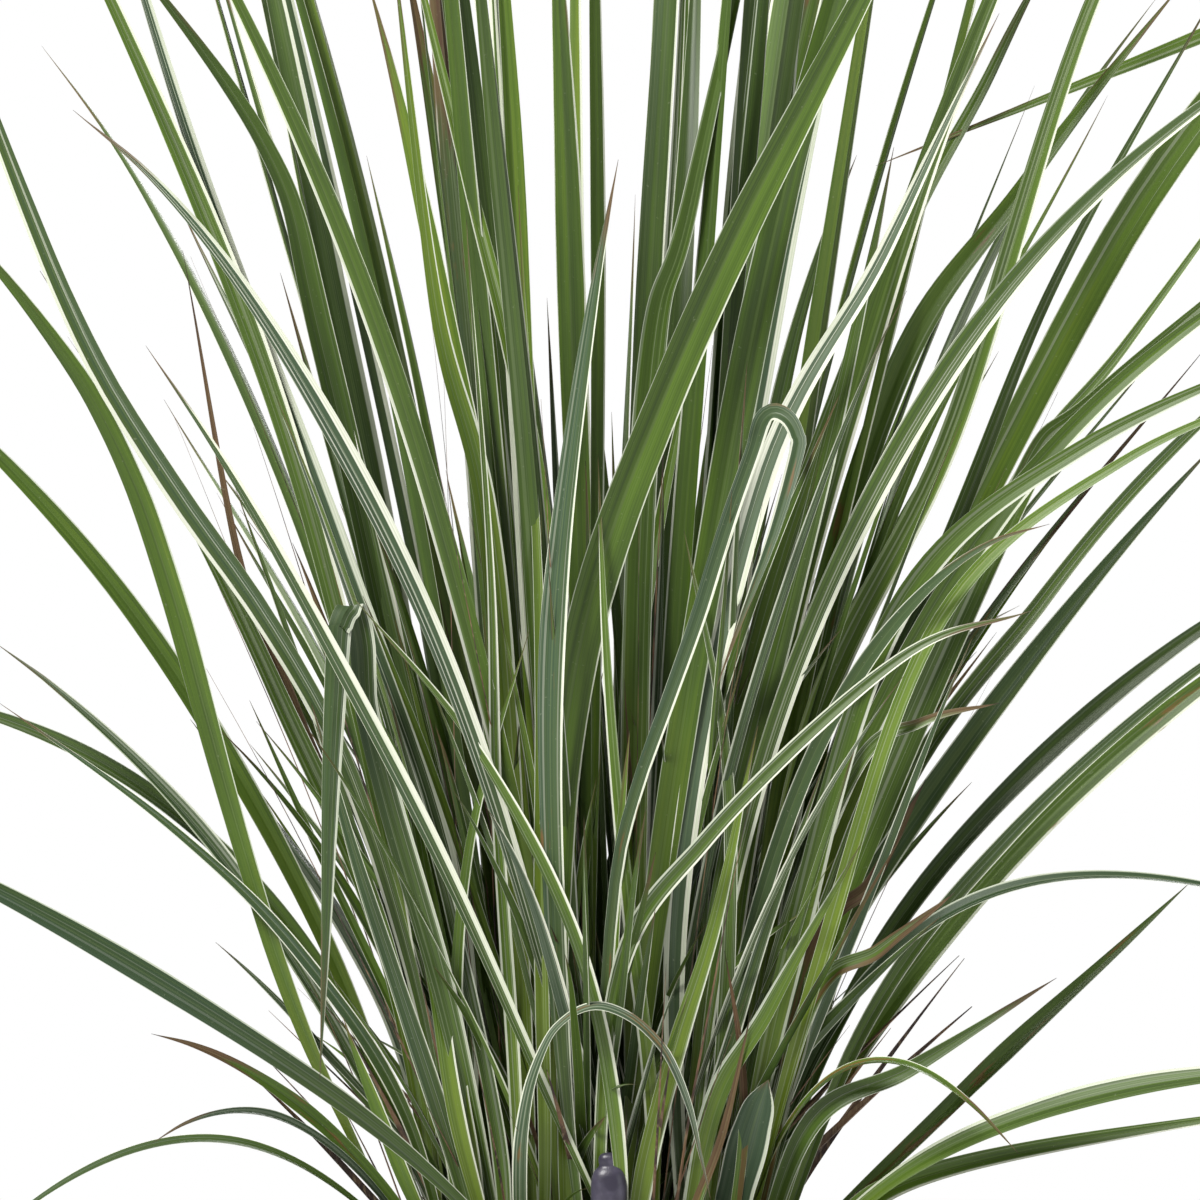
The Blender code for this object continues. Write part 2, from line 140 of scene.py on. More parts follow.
# By the number in the leaf's name
LEAF_LOOKS = {
    1: Look(0.40, 0.18, 0.5, 0.1),
    2: Look(0.76, 0.36, 0.4, 0.7, tip=0.03, pale=0.4, girth=1.2),
    3: Look(0.30, 0.08, 0.2, 0.0, girth=1.1),
    4: Look(0.62, 0.20, 0.0, 0.3, pale=0.2),
    5: Look(0.48, 0.08, 0.0, 0.1, tip=0.06),
    6: Look(0.72, 0.08, 0.2, 0.1, fold=0.15),
    7: Look(0.42, 0.05, 0.0, 0.0, tip=0.20, blotch=0.4),
    8: Look(0.85, 0.08, 0.0, 0.2, tip=0.10, pale=0.4),
    9: Look(0.60, 0.06, 0.0, 0.1, tip=0.06, pale=0.1),
    10: Look(0.25, 0.08, 0.3, 0.0, tip=0.05),
    11: Look(0.62, 0.42, 0.7, 0.5, pale=0.2, fold=0.5),
    12: Look(0.40, 0.16, -0.3, 0.35),
    13: Look(0.40, 0.05, 0.0, 0.0, fold=0.25, girth=1.15, foot=0.45),
    14: Look(0.76, 0.10, 0.7, 0.2, tip=0.04, blotch=0.15, pale=0.1, fold=0.2),
    15: Look(0.84, 0.12, 0.2, 0.0, tip=0.0, pale=0.10, fold=0.12, foot=0.8),
    16: Look(0.56, 0.26, 0.3, 0.3, tip=0.02, pale=0.1),
    17: Look(0.46, 0.12, 0.4, 0.1, girth=1.1),
    18: Look(0.62, 0.10, 0.0, 0.1, tip=0.02, fold=0.2, girth=1.1),
    19: Look(0.66, 0.10, 0.0, 0.1, tip=0.06, pale=0.15, blotch=0.1),
    20: Look(0.40, 0.12, 0.5, 0.1),
    21: Look(0.52, 0.10, 0.2, 0.1, tip=0.04),
    22: Look(0.42, 0.12, 0.5, 0.1, tip=0.04, blotch=0.32),
    23: Look(0.72, 0.14, 0.0, 0.5, pale=0.15),
    24: Look(0.40, 0.05, 0.2, 0.0, tip=0.03, blotch=0.35),
    25: Look(0.42, 0.12, -0.4, 0.1, fold=0.3),
    26: Look(0.30, 0.08, -0.6, 0.0, tip=0.10, blotch=0.45),
    27: Look(0.45, 0.08, 0.3, 0.1),
    28: Look(0.60, 0.10, 0.0, 0.2),
    29: Look(0.38, 0.10, 0.4, 0.1),
    30: Look(0.62, 0.12, 0.0, 0.2, tip=0.06),
    31: Look(0.50, 0.20, 0.2, 0.5),
    32: Look(0.58, 0.14, 0.0, 0.2),
    33: Look(0.50, 0.04, 0.0, 0.0, tip=0.03),
    34: Look(0.64, 0.18, -0.5, 0.4, tip=0.03, pale=0.1, girth=1.1),
    35: Look(0.34, 0.06, 0.3, 0.0, foot=0.25),
    36: Look(0.46, 0.05, 0.0, 0.0, fold=0.3, girth=1.3, foot=0.6),
    37: Look(0.86, 0.18, 0.0, 0.2, tip=0.02, blotch=0.35, pale=0.2, fold=0.3, foot=0.8),
    38: Look(0.72, 0.18, 0.3, 0.1, tip=0.03, blotch=0.2, pale=0.25, fold=0.4),
    39: Look(0.60, 0.14, 0.3, 0.2, pale=0.1, fold=0.4, foot=0.7),
}

# What the blades of a shoot look like, and how common each look is
FAN_LOOKS = (
    (Look(0.36, 0.09, 0.5, 0.0), 29),
    (Look(0.24, 0.07, 0.0, 0.0), 25),
    (Look(0.46, 0.13, 0.3, 0.1), 19),
    (Look(0.52, 0.22, 0.0, 0.7, pale=0.1), 10),
    (Look(0.68, 0.16, 0.4, 0.4, pale=0.1), 6),
    (Look(0.88, 0.30, 0.0, 0.8, pale=0.4), 3),
    (Look(0.42, 0.06, 0.0, 0.1, tip=0.14, blotch=0.35), 9),
)

# How the blades of a shoot stand. A pair is a range that each blade draws from.
# height: as a share of the shoot's; lean, droop, width: in millimetres
# bend: how late they lean; taper: how late they narrow
# wander: how far they turn from straight out, in radians; inner: as in Look, the painted shade on their
# lower half
Stand = namedtuple("Stand", "count height lean bend droop width taper wander inner")
STANDS = (
    Stand(2, (0.84, 1.0), (8, 100), (1.25, 1.9), (0, 16), (6.5, 11.5), (3.5, 8.0), 0.8, (0.6, 1.0)),
    Stand(5, (0.20, 0.64), (12, 104), (1.25, 2.1), (0, 44), (3.4, 7.2), (1.8, 3.6), 1.4, (0.4, 1.0)),
    Stand(8, (0.14, 0.54), (24, 96), (0.95, 1.35), (0, 26), (2.6, 4.8), (2.0, 6.0), 1.9, (0.0, 0.4)),
)

# Blades that stand between the CAD leaves. azimuth, in degrees, and ring place the foot on the
# crown, stops are the route's points after it, and face is the way that the upper side looks
Spray = namedtuple("Spray", "azimuth ring width stops face look")


def spray(azimuth, ring, width, hue, margin, *stops, face=-90.0, **look):
    return Spray(azimuth, ring, width, stops, face, Look(hue, margin, **look))


SPRAYS = {
    "left": (
        spray(200, 44, 6.5, 0.8, 0.34, (-40, -42, 120), (-76, -52, 234), (-122, -66, 360),
              (-160, -78, 492), skew=0.5, stripe=0.6, pale=0.2),
        spray(172, 40, 4.2, 0.55, 0.03, (-66, 0, 120), (-92, -6, 190), (-107, -10, 231), (-125, -16, 324),
              tip=0.6),
        spray(190, 36, 9.0, 0.42, 0.05, (-54, -16, 160), (-84, -24, 300), (-99, -28, 356),
              (-151, -36, 426), pale=0.1),
        spray(240, 36, 7.5, 0.12, 0.10, (-26, -46, 160), (-34, -52, 248), (-47, -58, 308),
              (-62, -66, 420), skew=0.8),
        spray(250, 34, 7.0, 0.24, 0.1, (-10, -46, 150), (-18, -52, 248), (-38, -60, 338), (-64, -70, 450),
              skew=-0.5),
        spray(232, 46, 6.0, 0.65, 0.1, (-44, -52, 60), (-58, -62, 105), (-72, -68, 150), (-84, -72, 190)),
        spray(238, 45, 5.5, 0.28, 0.1, (-40, -54, 60), (-48, -60, 110), (-60, -66, 158), (-78, -72, 230),
              skew=0.5),
        spray(206, 44, 4.5, 0.75, 0.16, (-58, -34, 70), (-88, -44, 116), (-124, -52, 152),
              (-176, -60, 190), tip=0.06),
        spray(186, 44, 6.5, 0.36, 0.06, (-62, -10, 110), (-96, -14, 190), (-124, -18, 250),
              (-166, -22, 318)),
    ),
    "right": (
        spray(290, 34, 9.0, 0.35, 0.07, (10, -44, 160), (15, -50, 292), (27, -56, 338), (60, -66, 484)),
        spray(330, 40, 8.0, 0.35, 0.10, (60, -26, 170), (104, -34, 270), (144, -38, 396), (188, -44, 478),
              skew=0.4),
        spray(344, 36, 9.0, 0.28, 0.03, (56, -16, 170), (88, -20, 286), (126, -24, 344), (174, -30, 404),
              blotch=0.25),
        spray(2, 34, 11.0, 0.34, 0.05, (70, 0, 150), (150, -4, 320), (204, -8, 396), (212, -10, 404),
              (178, -12, 388), (82, -14, 350), fold=0.2),
        spray(352, 42, 5.5, 0.5, 0.06, (84, -8, 150), (132, -12, 220), (178, -16, 272), (234, -20, 316),
              tip=0.1),
        spray(318, 40, 5.0, 0.45, 0.06, (50, -48, 110), (75, -60, 172), (94, -64, 184), (116, -68, 190),
              tip=0.08, blotch=0.2),
        spray(330, 44, 5.5, 0.3, 0.03, (62, -44, 112), (80, -52, 138), (95, -56, 168), tip=0.3,
              blotch=0.7),
        spray(326, 46, 5.5, 0.3, 0.06, (60, -52, 98), (82, -60, 118), (103, -66, 135), tip=0.12,
              blotch=0.7),
        spray(338, 50, 8.0, 0.45, 0.12, (70, -34, 34), (106, -44, 54), (222, -60, 76), skew=0.5),
        spray(328, 48, 6.5, 0.45, 0.08, (60, -50, 64), (91, -58, 83), (133, -64, 110), tip=0.10),
        spray(322, 46, 6.0, 0.05, 0.14, (50, -38, 60), (60, -42, 96), (65, -46, 150), skew=0.6),
        spray(338, 40, 5.5, 0.5, 0.05, (58, -14, 130), (103, -18, 234), (134, -20, 312), (186, -26, 408)),
        spray(312, 40, 7.5, 0.95, 0.4, (22, -56, 130), (48, -66, 254), (83, -72, 322), (115, -78, 390),
              stripe=0.9, pale=0.7),
        spray(308, 36, 7.0, 0.35, 0.10, (34, -50, 120), (57, -56, 226), (73, -60, 290), (86, -62, 352),
              skew=0.5),
        spray(320, 30, 6.0, 0.24, 0.06, (40, -10, 180), (83, -12, 312), (117, -14, 378), (140, -16, 420)),
        spray(336, 42, 5.5, 0.40, 0.10, (64, -20, 120), (116, -28, 243), (156, -32, 295),
              (206, -36, 366)),
        spray(326, 44, 9.0, 0.40, 0.06, (70, -38, 130), (122, -46, 250), (146, -50, 279),
              (216, -56, 338)),
        spray(318, 44, 8.0, 0.35, 0.12, (54, -56, 110), (85, -66, 214), (141, -74, 264), (222, -82, 302),
              skew=0.6),
        spray(322, 46, 5.0, 0.2, 0.05, (62, -60, 110), (98, -70, 212), (152, -78, 260), (224, -84, 290)),
        spray(340, 46, 5.0, 0.6, 0.12, (76, -28, 90), (120, -36, 150), (172, -42, 196), (238, -48, 238)),
    ),
    "front": (
        spray(280, 48, 6.5, 0.08, 0.08, (12, -58, 46), (22, -66, 88), (34, -72, 130), (46, -76, 184),
              skew=0.7),
        spray(296, 47, 6.5, 0.18, 0.14, (32, -60, 68), (49, -68, 102), (76, -76, 150), skew=-0.4),
        spray(268, 47, 5.5, 0.5, 0.22, (4, -72, 106), (31, -84, 152), (87, -92, 203), (124, -96, 217)),
        spray(246, 46, 4.4, 0.14, 0.10, (-16, -58, 60), (-17, -70, 150), (-19, -76, 240),
              (-24, -78, 340)),
        spray(242, 44, 4.2, 0.4, 0.34, (-24, -56, 60), (-30, -66, 150), (-32, -72, 230), (-38, -76, 330),
              stripe=0.4),
        spray(258, 47, 5.0, 0.2, 0.1, (-10, -58, 60), (-14, -64, 130), (-30, -68, 220), stripe=0.2),
        spray(236, 48, 5.0, 0.5, 0.2, (-30, -50, 60), (-44, -58, 130), (-62, -66, 196), stripe=0.2),
        spray(300, 47, 5.5, 0.6, 0.2, (28, -52, 50), (44, -60, 110), (66, -68, 176), stripe=0.2),
        spray(274, 48, 4.6, 0.45, 0.2, (6, -64, 54), (-6, -74, 118), (-34, -82, 176), (-72, -88, 222),
              skew=0.6),
        spray(288, 46, 4.6, 0.3, 0.16, (16, -58, 60), (8, -72, 130), (2, -80, 200), (0, -84, 262),
              skew=-0.5),
        spray(304, 44, 5.0, 0.4, 0.12, (34, -50, 60), (38, -58, 120), (36, -66, 180), (24, -72, 240)),
        spray(228, 44, 4.6, 0.34, 0.14, (-36, -48, 50), (-42, -56, 96), (-38, -64, 150), (-20, -72, 212),
              skew=0.5),
        spray(312, 46, 3.4, 0.3, 0.04, (40, -50, 44), (42, -60, 80), (36, -68, 118), tip=0.4, blotch=0.8),
        spray(296, 48, 3.2, 0.3, 0.04, (26, -58, 36), (36, -64, 66), (44, -68, 100), tip=0.5, blotch=0.8),
    ),
}


# -------- shader graphs


class Graph:
    """Short calls that add shader nodes to one material and return their output sockets."""

    def __init__(self, name):
        self.material = bpy.data.materials.new(name)
        self.material.use_nodes = True
        self.tree = self.material.node_tree
        self.shader = self.tree.nodes["Principled BSDF"]

    def node(self, kind, **settings):
        made = self.tree.nodes.new("ShaderNode" + kind)
        for key, value in settings.items():
            setattr(made, key, value)
        return made

    def feed(self, socket, value):
        if isinstance(value, bpy.types.NodeSocket):
            self.tree.links.new(value, socket)
        else:
            socket.default_value = value

    def math(self, operation, *values, clamp=False):
        made = self.node("Math", operation=operation, use_clamp=clamp)
        for socket, value in zip(made.inputs, values):
            self.feed(socket, value)
        return made.outputs[0]

    def mix(self, factor, a, b, kind="MIX"):
        made = self.node("Mix", data_type="RGBA", blend_type=kind)
        for socket, value in zip((made.inputs[0], made.inputs[6], made.inputs[7]), (factor, a, b)):
            self.feed(socket, value if isinstance(value, (bpy.types.NodeSocket, float)) else (*value, 1))
        return made.outputs[2]

    def step(self, value, low, high):
        """0 at low and 1 at high, with a smooth change between."""
        made = self.node("MapRange", interpolation_type="SMOOTHSTEP")
        for socket, item in zip(made.inputs, (value, low, high, 0.0, 1.0)):
            self.feed(socket, item)
        return made.outputs[0]

    def times(self, a, b, clamp=False):
        return self.math("MULTIPLY", a, b, clamp=clamp)

    def line(self, value, slope, start, clamp=False):
        return self.math("MULTIPLY_ADD", value, slope, start, clamp=clamp)

    def fade(self, value, low, high, amount):
        """0 at low and the amount at high."""
        return self.times(self.step(value, low, high), amount)

    def sway(self, texture, amount, value):
        """The value, raised and lowered by a noise that lies round 0.5."""
        return self.line(self.math("SUBTRACT", texture, 0.5), amount, value)

    def place(self, x, y, z):
        made = self.node("CombineXYZ")
        for socket, value in zip(made.inputs, (x, y, z)):
            self.feed(socket, value)
        return made.outputs[0]

    def noise(self, place, scale, detail=2.0, roughness=0.5):
        made = self.node("TexNoise")
        self.feed(made.inputs["Vector"], place)
        made.inputs["Scale"].default_value = scale
        made.inputs["Detail"].default_value = detail
        made.inputs["Roughness"].default_value = roughness
        return made.outputs[0]

    def ramp(self, value, stops):
        made = self.node("ValToRGB")
        elements = made.color_ramp.elements
        while len(elements) < len(stops):
            elements.new(1.0)
        for element, (place, colour) in zip(elements, stops):
            element.position = place
            element.color = (*colour, 1.0)
        self.feed(made.inputs[0], value)
        return made.outputs[0]

    def attribute(self, name):
        """The four channels of a colour attribute."""
        made = self.node("Attribute", attribute_name=name)
        parts = self.node("SeparateColor")
        self.tree.links.new(made.outputs["Color"], parts.inputs[0])
        return (*parts.outputs, made.outputs["Alpha"])

    def object_place(self):
        return self.node("TexCoord").outputs["Object"]

    def bump(self, height, strength, distance):
        made = self.node("Bump")
        made.inputs["Strength"].default_value = strength
        made.inputs["Distance"].default_value = distance
        self.feed(made.inputs["Height"], height)
        self.feed(self.shader.inputs["Normal"], made.outputs[0])

    def finish(self, colour, roughness, **settings):
        self.feed(self.shader.inputs["Base Color"], colour)
        self.feed(self.shader.inputs["Roughness"], roughness)
        for name, value in settings.items():
            self.shader.inputs[name.replace("_", " ")].default_value = value
        return self.material


YELLOW_GREEN = (0.130, 0.195, 0.016)
BRIGHT_GREEN = (0.074, 0.136, 0.012)
DEEP_GREEN = (0.036, 0.067, 0.010)
BLUE_GREEN = (0.031, 0.063, 0.032)
GREY_GREEN = (0.076, 0.110, 0.070)
CREAM = (0.700, 0.710, 0.640)
GREEN_CREAM = (0.530, 0.580, 0.465)
DULL_CREAM = (0.390, 0.445, 0.335)
PALE_VEIN = (0.140, 0.190, 0.075)
DEEP_VEIN = (0.020, 0.038, 0.010)
RED_BROWN = (0.070, 0.028, 0.016)
RUST = (0.20, 0.12, 0.03)
STRAW = (0.125, 0.082, 0.040)
DEAD_TIP = (0.018, 0.010, 0.011)
SHEATH = (0.120, 0.150, 0.035)
BROWN_SHEATH = (0.12, 0.10, 0.045)
DUST = (0.34, 0.36, 0.28)
# The next three multiply the colour: the first is painted shade low in the clump, the other two make the
# darkest and lightest blades
PAINTED_SHADE_TINT = (0.30, 0.36, 0.20)
DARKEST = (0.64, 0.66, 0.62)
LIGHTEST = (1.12, 1.10, 1.06)


class GrassGraph(Graph):
    """The grass material's inputs. The mesh's attributes say what each blade looks like."""

    def __init__(self):
        super().__init__("grass")
        parts = self.node("SeparateXYZ")
        self.feed(parts.inputs[0], self.node("UVMap", uv_map="Blade").outputs[0])
        self.across = self.line(parts.outputs[0], 2.0, -1.0)
        self.along = parts.outputs[1]
        self.off_middle = self.math("ABSOLUTE", self.across)
        self.hue, self.margin, self.stripe, self.tip = self.attribute("look")
        self.blotch, self.pale, self.skew, self.chance = self.attribute("wear")
        # The third channel of run is how strongly painted shade darkens the blade's lower half
        self.share, self.under, self.inner, _ = self.attribute("run")
        self.seed = self.times(self.chance, 61.0)
        self.bands = self.pattern(3.2, 0.25, 1.0, 3.0)
        self.slow = self.pattern(0.5, 1.0, 1.4, 3.0, 0.6)
        self.veins = self.pattern(16.0, 0.3, 1.0, 1.5)
        self.spots = self.pattern(1.1, 3.4, 1.0, 3.0, 0.6)

    def pattern(self, wide, long, scale, detail, roughness=0.5):
        """Noise, stretched by how quickly it changes across the blade and along it."""
        x = self.times(self.across, wide)
        y = self.times(self.along, long)
        return self.noise(self.place(x, y, self.seed), scale, detail, roughness)


def blade_green(g):
    """The blade without its cream: yellower low down, with fine veins and a pale midrib."""
    tone = g.sway(g.slow, 0.45, g.sway(g.bands, 0.55, g.hue))
    tone = g.line(g.step(g.share, 0.55, 0.05), -0.42, tone, clamp=True)
    greens = (YELLOW_GREEN, BRIGHT_GREEN, DEEP_GREEN, BLUE_GREEN, GREY_GREEN)
    colour = g.ramp(tone, tuple(zip((0.0, 0.25, 0.52, 0.80, 1.0), greens)))
    colour = g.mix(g.fade(g.veins, 0.45, 0.7, 0.15), colour, PALE_VEIN)
    colour = g.mix(g.fade(g.veins, 0.5, 0.3, 0.25), colour, DEEP_VEIN)
    colour = g.mix(g.fade(g.off_middle, 0.10, 0.03, 0.20), colour, PALE_VEIN)
    colour = g.mix(g.times(g.pale, 0.55), colour, GREY_GREEN)
    return g.mix(g.times(g.under, 0.15), colour, GREY_GREEN)


def cream_colour(g):
    colour = g.mix(g.step(g.veins, 0.35, 0.65), CREAM, GREEN_CREAM)
    return g.mix(g.fade(g.slow, 0.45, 0.75, 0.45), colour, DULL_CREAM)


def cream_share(g):
    """How much of the blade is cream: its margins, wider on the skewed side, and stripes."""
    lean = g.line(g.times(g.across, 3.0), g.skew, 1.0)
    lean = g.math("MINIMUM", g.math("MAXIMUM", lean, 0.12), 1.9)
    edge = g.math("SUBTRACT", 1.0, g.times(g.margin, lean))
    one_edge = g.math("SIGN", g.across)
    drift = g.place(one_edge, g.times(g.along, 2.2), g.seed)
    reach = g.sway(g.noise(drift, 1.0, 2.0), 0.16, g.off_middle)
    rim = g.step(g.math("SUBTRACT", reach, edge), -0.035, 0.035)
    lines = g.step(g.pattern(4.4, 0.10, 1.0, 2.0, 0.7), 0.565, 0.60)
    return g.math("MAXIMUM", rim, g.times(lines, g.stripe, clamp=True))


def with_sheath(g, colour):
    """The colour with the straw and brown of the old sheath at the foot."""
    sheath = g.mix(g.step(g.bands, 0.4, 0.7), SHEATH, BROWN_SHEATH)
    return g.mix(g.fade(g.share, 0.13, 0.02, 0.60), colour, sheath)


def with_blotches(g, colour):
    """The colour with red-brown spots, on the blades that have them."""
    spotted = g.step(g.line(g.blotch, 0.30, g.spots), 0.68, 0.76)
    spotted = g.times(spotted, g.step(g.blotch, 0.02, 0.10))
    rust = g.mix(g.bands, RED_BROWN, RUST)
    return g.mix(g.times(spotted, 0.85), colour, rust)


def dryness(g):
    """How far the blade has dried: from the tip down, and at the edges first."""
    drying = g.sway(g.spots, 0.30, g.share)
    drying = g.line(g.off_middle, 0.05, drying)
    dry_from = g.math("SUBTRACT", 1.02, g.tip)
    return g.step(g.math("SUBTRACT", drying, dry_from), -0.05, 0.04)


def with_dry_tip(g, colour, dried):
    """The colour with its dry stretch in brown and straw, and a nearly black tip."""
    husk = g.mix(g.step(g.bands, 0.35, 0.65), RED_BROWN, STRAW)
    colour = g.mix(g.times(dried, 0.88), colour, husk)
    end_from = g.line(g.tip, -0.22, 1.0)
    return g.mix(g.fade(g.share, end_from, 1.0, 0.85), colour, DEAD_TIP)


def grass_material():
    """A leaf blade seen from either side."""
    g = GrassGraph()
    cream = cream_share(g)
    dried = dryness(g)
    colour = g.mix(g.times(cream, 0.92), blade_green(g), cream_colour(g))
    colour = with_blotches(g, with_sheath(g, colour))
    colour = with_dry_tip(g, colour, dried)
    colour = g.mix(g.fade(g.noise(g.object_place(), 900.0, 1.0), 0.72, 0.80, 0.18), colour, DUST)
    # Painted shade: the lower part of each blade is darkened by how deep in the clump it stands, out of
    # the light
    painted_shade_mask = g.times(g.step(g.share, 0.60, 0.0), g.inner)
    colour = g.mix(painted_shade_mask, colour, PAINTED_SHADE_TINT, kind="MULTIPLY")
    colour = g.mix(1.0, colour, g.mix(g.chance, DARKEST, LIGHTEST), kind="MULTIPLY")

    rough = g.line(g.bands, 0.16, 0.36)
    rough = g.line(cream, 0.08, rough)
    rough = g.line(dried, 0.28, rough)
    g.bump(g.line(g.slow, 0.6, g.veins), 0.12, 0.0002)
    return g.finish(colour, rough, Specular_IOR_Level=0.30)


def stalk_material():
    """A dead stalk or a shed sheath."""
    g = Graph("dead_stalk")
    place = g.object_place()
    streak = g.node("Mapping")
    g.feed(streak.inputs[0], place)
    streak.inputs["Scale"].default_value = (900.0, 900.0, 45.0)
    fibre = g.noise(streak.outputs[0], 1.0, 2.0)
    patch = g.noise(place, 60.0, 3.0)
    colour = g.mix(g.step(patch, 0.42, 0.62), (0.030, 0.017, 0.014), (0.150, 0.085, 0.045))
    colour = g.mix(g.fade(fibre, 0.5, 0.7, 0.5), colour, (0.26, 0.19, 0.11))
    g.bump(fibre, 0.5, 0.0003)
    return g.finish(colour, g.line(fibre, 0.2, 0.62))


def soil_material():
    """Dark peaty soil with paler grains."""
    g = Graph("potting_soil")
    place = g.object_place()
    clods = g.noise(place, 120.0, 5.0, 0.65)
    grains = g.noise(place, 900.0, 3.0, 0.7)
    wet, damp, dry = (0.010, 0.006, 0.004), (0.032, 0.019, 0.011), (0.075, 0.045, 0.026)
    colour = g.ramp(clods, ((0.30, wet), (0.5, damp), (0.70, dry)))
    colour = g.mix(g.fade(grains, 0.58, 0.68, 0.5), colour, (0.16, 0.105, 0.062))
    g.bump(g.line(grains, 0.6, clods), 0.9, 0.0012)
    return g.finish(colour, g.line(grains, 0.15, 0.82))


def bark_material():
    """Flaky brown bark."""
    g = Graph("bark_chip")
    place = g.object_place()
    flakes = g.noise(place, 260.0, 4.0, 0.6)
    deep, middle, worn = (0.030, 0.014, 0.007), (0.105, 0.050, 0.024), (0.230, 0.130, 0.068)
    colour = g.ramp(flakes, ((0.32, deep), (0.5, middle), (0.72, worn)))
    g.bump(flakes, 0.8, 0.0008)
    return g.finish(colour, g.line(flakes, 0.2, 0.70))


def pot_material():
    """Black moulded polypropylene: a fine grain, faint drag lines, soil dust low down."""
    g = Graph("moulded_plastic")
    place = g.object_place()
    grain = g.noise(place, 1500.0, 2.0)
    haze = g.noise(place, 26.0, 4.0, 0.6)
    ring = g.node("Mapping")
    g.feed(ring.inputs[0], place)
    ring.inputs["Scale"].default_value = (6.0, 6.0, 900.0)
    drag = g.noise(ring.outputs[0], 1.0, 2.0)
    height = g.node("SeparateXYZ")
    g.feed(height.inputs[0], place)
    low = g.step(height.outputs[2], 0.055, 0.0)
    colour = g.mix(g.step(haze, 0.35, 0.7), (0.016, 0.016, 0.017), (0.031, 0.031, 0.032))
    scuff = g.times(g.step(drag, 0.62, 0.72), g.step(haze, 0.5, 0.62))
    colour = g.mix(g.times(scuff, 0.45), colour, (0.085, 0.085, 0.086))
    dust = g.times(g.times(low, g.step(haze, 0.45, 0.7)), 0.5)
    colour = g.mix(dust, colour, (0.085, 0.062, 0.044))
    rough = g.line(haze, 0.20, 0.36)
    rough = g.line(dust, 0.5, rough)
    g.bump(g.line(drag, 0.5, grain), 0.22, 0.0003)
    return g.finish(colour, rough, Specular_IOR_Level=0.45)


def stake_material():
    """Smooth plastic, nearly black with a touch of violet."""
    g = Graph("stake_plastic")
    place = g.object_place()
    grain = g.noise(place, 2200.0, 2.0)
    haze = g.noise(place, 160.0, 3.0)
    colour = g.mix(g.step(haze, 0.4, 0.65), (0.022, 0.019, 0.034), (0.050, 0.045, 0.070))
    g.bump(grain, 0.25, 0.0002)
    return g.finish(colour, g.line(haze, 0.25, 0.28), Specular_IOR_Level=0.5)


def floor_material():
    """Pale matt floor that fades out before its edge."""
    g = Graph("studio_floor")
    place = g.object_place()
    mottle = g.noise(place, 3.0, 3.0)
    g.finish(g.mix(mottle, (0.80, 0.80, 0.79), (0.86, 0.86, 0.86)), 0.85)
    away = g.node("VectorMath", operation="LENGTH")
    g.feed(away.inputs[0], place)
    gone = g.step(away.outputs["Value"], 0.45 * FLOOR_RADIUS, 0.98 * FLOOR_RADIUS)
    blend = g.node("MixShader")
    g.feed(blend.inputs[0], gone)
    g.feed(blend.inputs[1], g.shader.outputs[0])
    g.feed(blend.inputs[2], g.node("BsdfTransparent").outputs[0])
    g.feed(g.tree.nodes["Material Output"].inputs[0], blend.outputs[0])
    return g.material


# -------- CAD sections


def rings_of(node):
    """The corners of each cross-section of a CAD blade or shoot, from its foot to its tip."""
    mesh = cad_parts[node].data
    # Vertices at one place count as one corner, known by the place in whole micrometres
    number, welded = {}, []
    for vertex in mesh.vertices:
        key = tuple(round(c * 1e6) for c in vertex.co)
        welded.append(number.setdefault(key, len(number)))
    points = [np.array(key) * 1e-6 for key in number]
    joined = defaultdict(set)
    for edge in mesh.edges:
        a, b = (welded[i] for i in edge.vertices)
        joined[a].add(b)
        joined[b].add(a)
    lowest = min(point[2] for point in points)
    level = {i for i, point in enumerate(points) if point[2] < lowest + 0.01 * MM}
    seen, rings = set(level), []
    while level:
        rings.append([points[i] for i in sorted(level)])
        level = {j for i in level for j in joined[i]} - seen
        seen |= level
    return rings


def sections_of(node):
    """Middle, unit side and half width of every cross-section, each row an array of seven."""
    rows, side = [], None
    for ring in rings_of(node):
        middle = sum(ring) / len(ring)
        span = max((a - b for a in ring for b in ring), key=np.linalg.norm)
        reach = np.linalg.norm(span)
        if len(ring) > 2:
            turned = span / reach
            side = -turned if side is not None and turned @ side < 0 else turned
        rows.append(np.array([*middle, *side, reach / 2 if len(ring) > 2 else 0.0]))
    return np.array(rows)


def eased(rows, count):
    """Rows at even steps along a smooth curve that passes all the given rows."""
    padded = np.vstack([2 * rows[0] - rows[1], rows, 2 * rows[-1] - rows[-2]])
    t = np.linspace(0, len(rows) - 1, count)
    i = np.minimum(t.astype(int), len(rows) - 2)
    f = (t - i)[:, None]
    a, b, c, d = padded[i], padded[i + 1], padded[i + 2], padded[i + 3]
    return b + 0.5 * f * (c - a + f * (2 * a - 5 * b + 4 * c - d + f * (3 * b - a - 3 * c + d)))


def unit(rows):
    """Each row at length 1."""
    return rows / np.maximum(np.linalg.norm(rows, axis=-1, keepdims=True), 1e-12)


def squared(points, sides):
    """The sides turned square to the route through the points, and the ways that are up there."""
    ways = unit(np.gradient(points, axis=0))
    sides = unit(sides - (sides * ways).sum(1, keepdims=True) * ways)
    return sides, np.cross(sides, ways)


def level_ways(angle):
    """Level directions at the angles."""
    return np.stack([np.cos(angle), np.sin(angle), np.zeros_like(angle)], -1)


# -------- blades


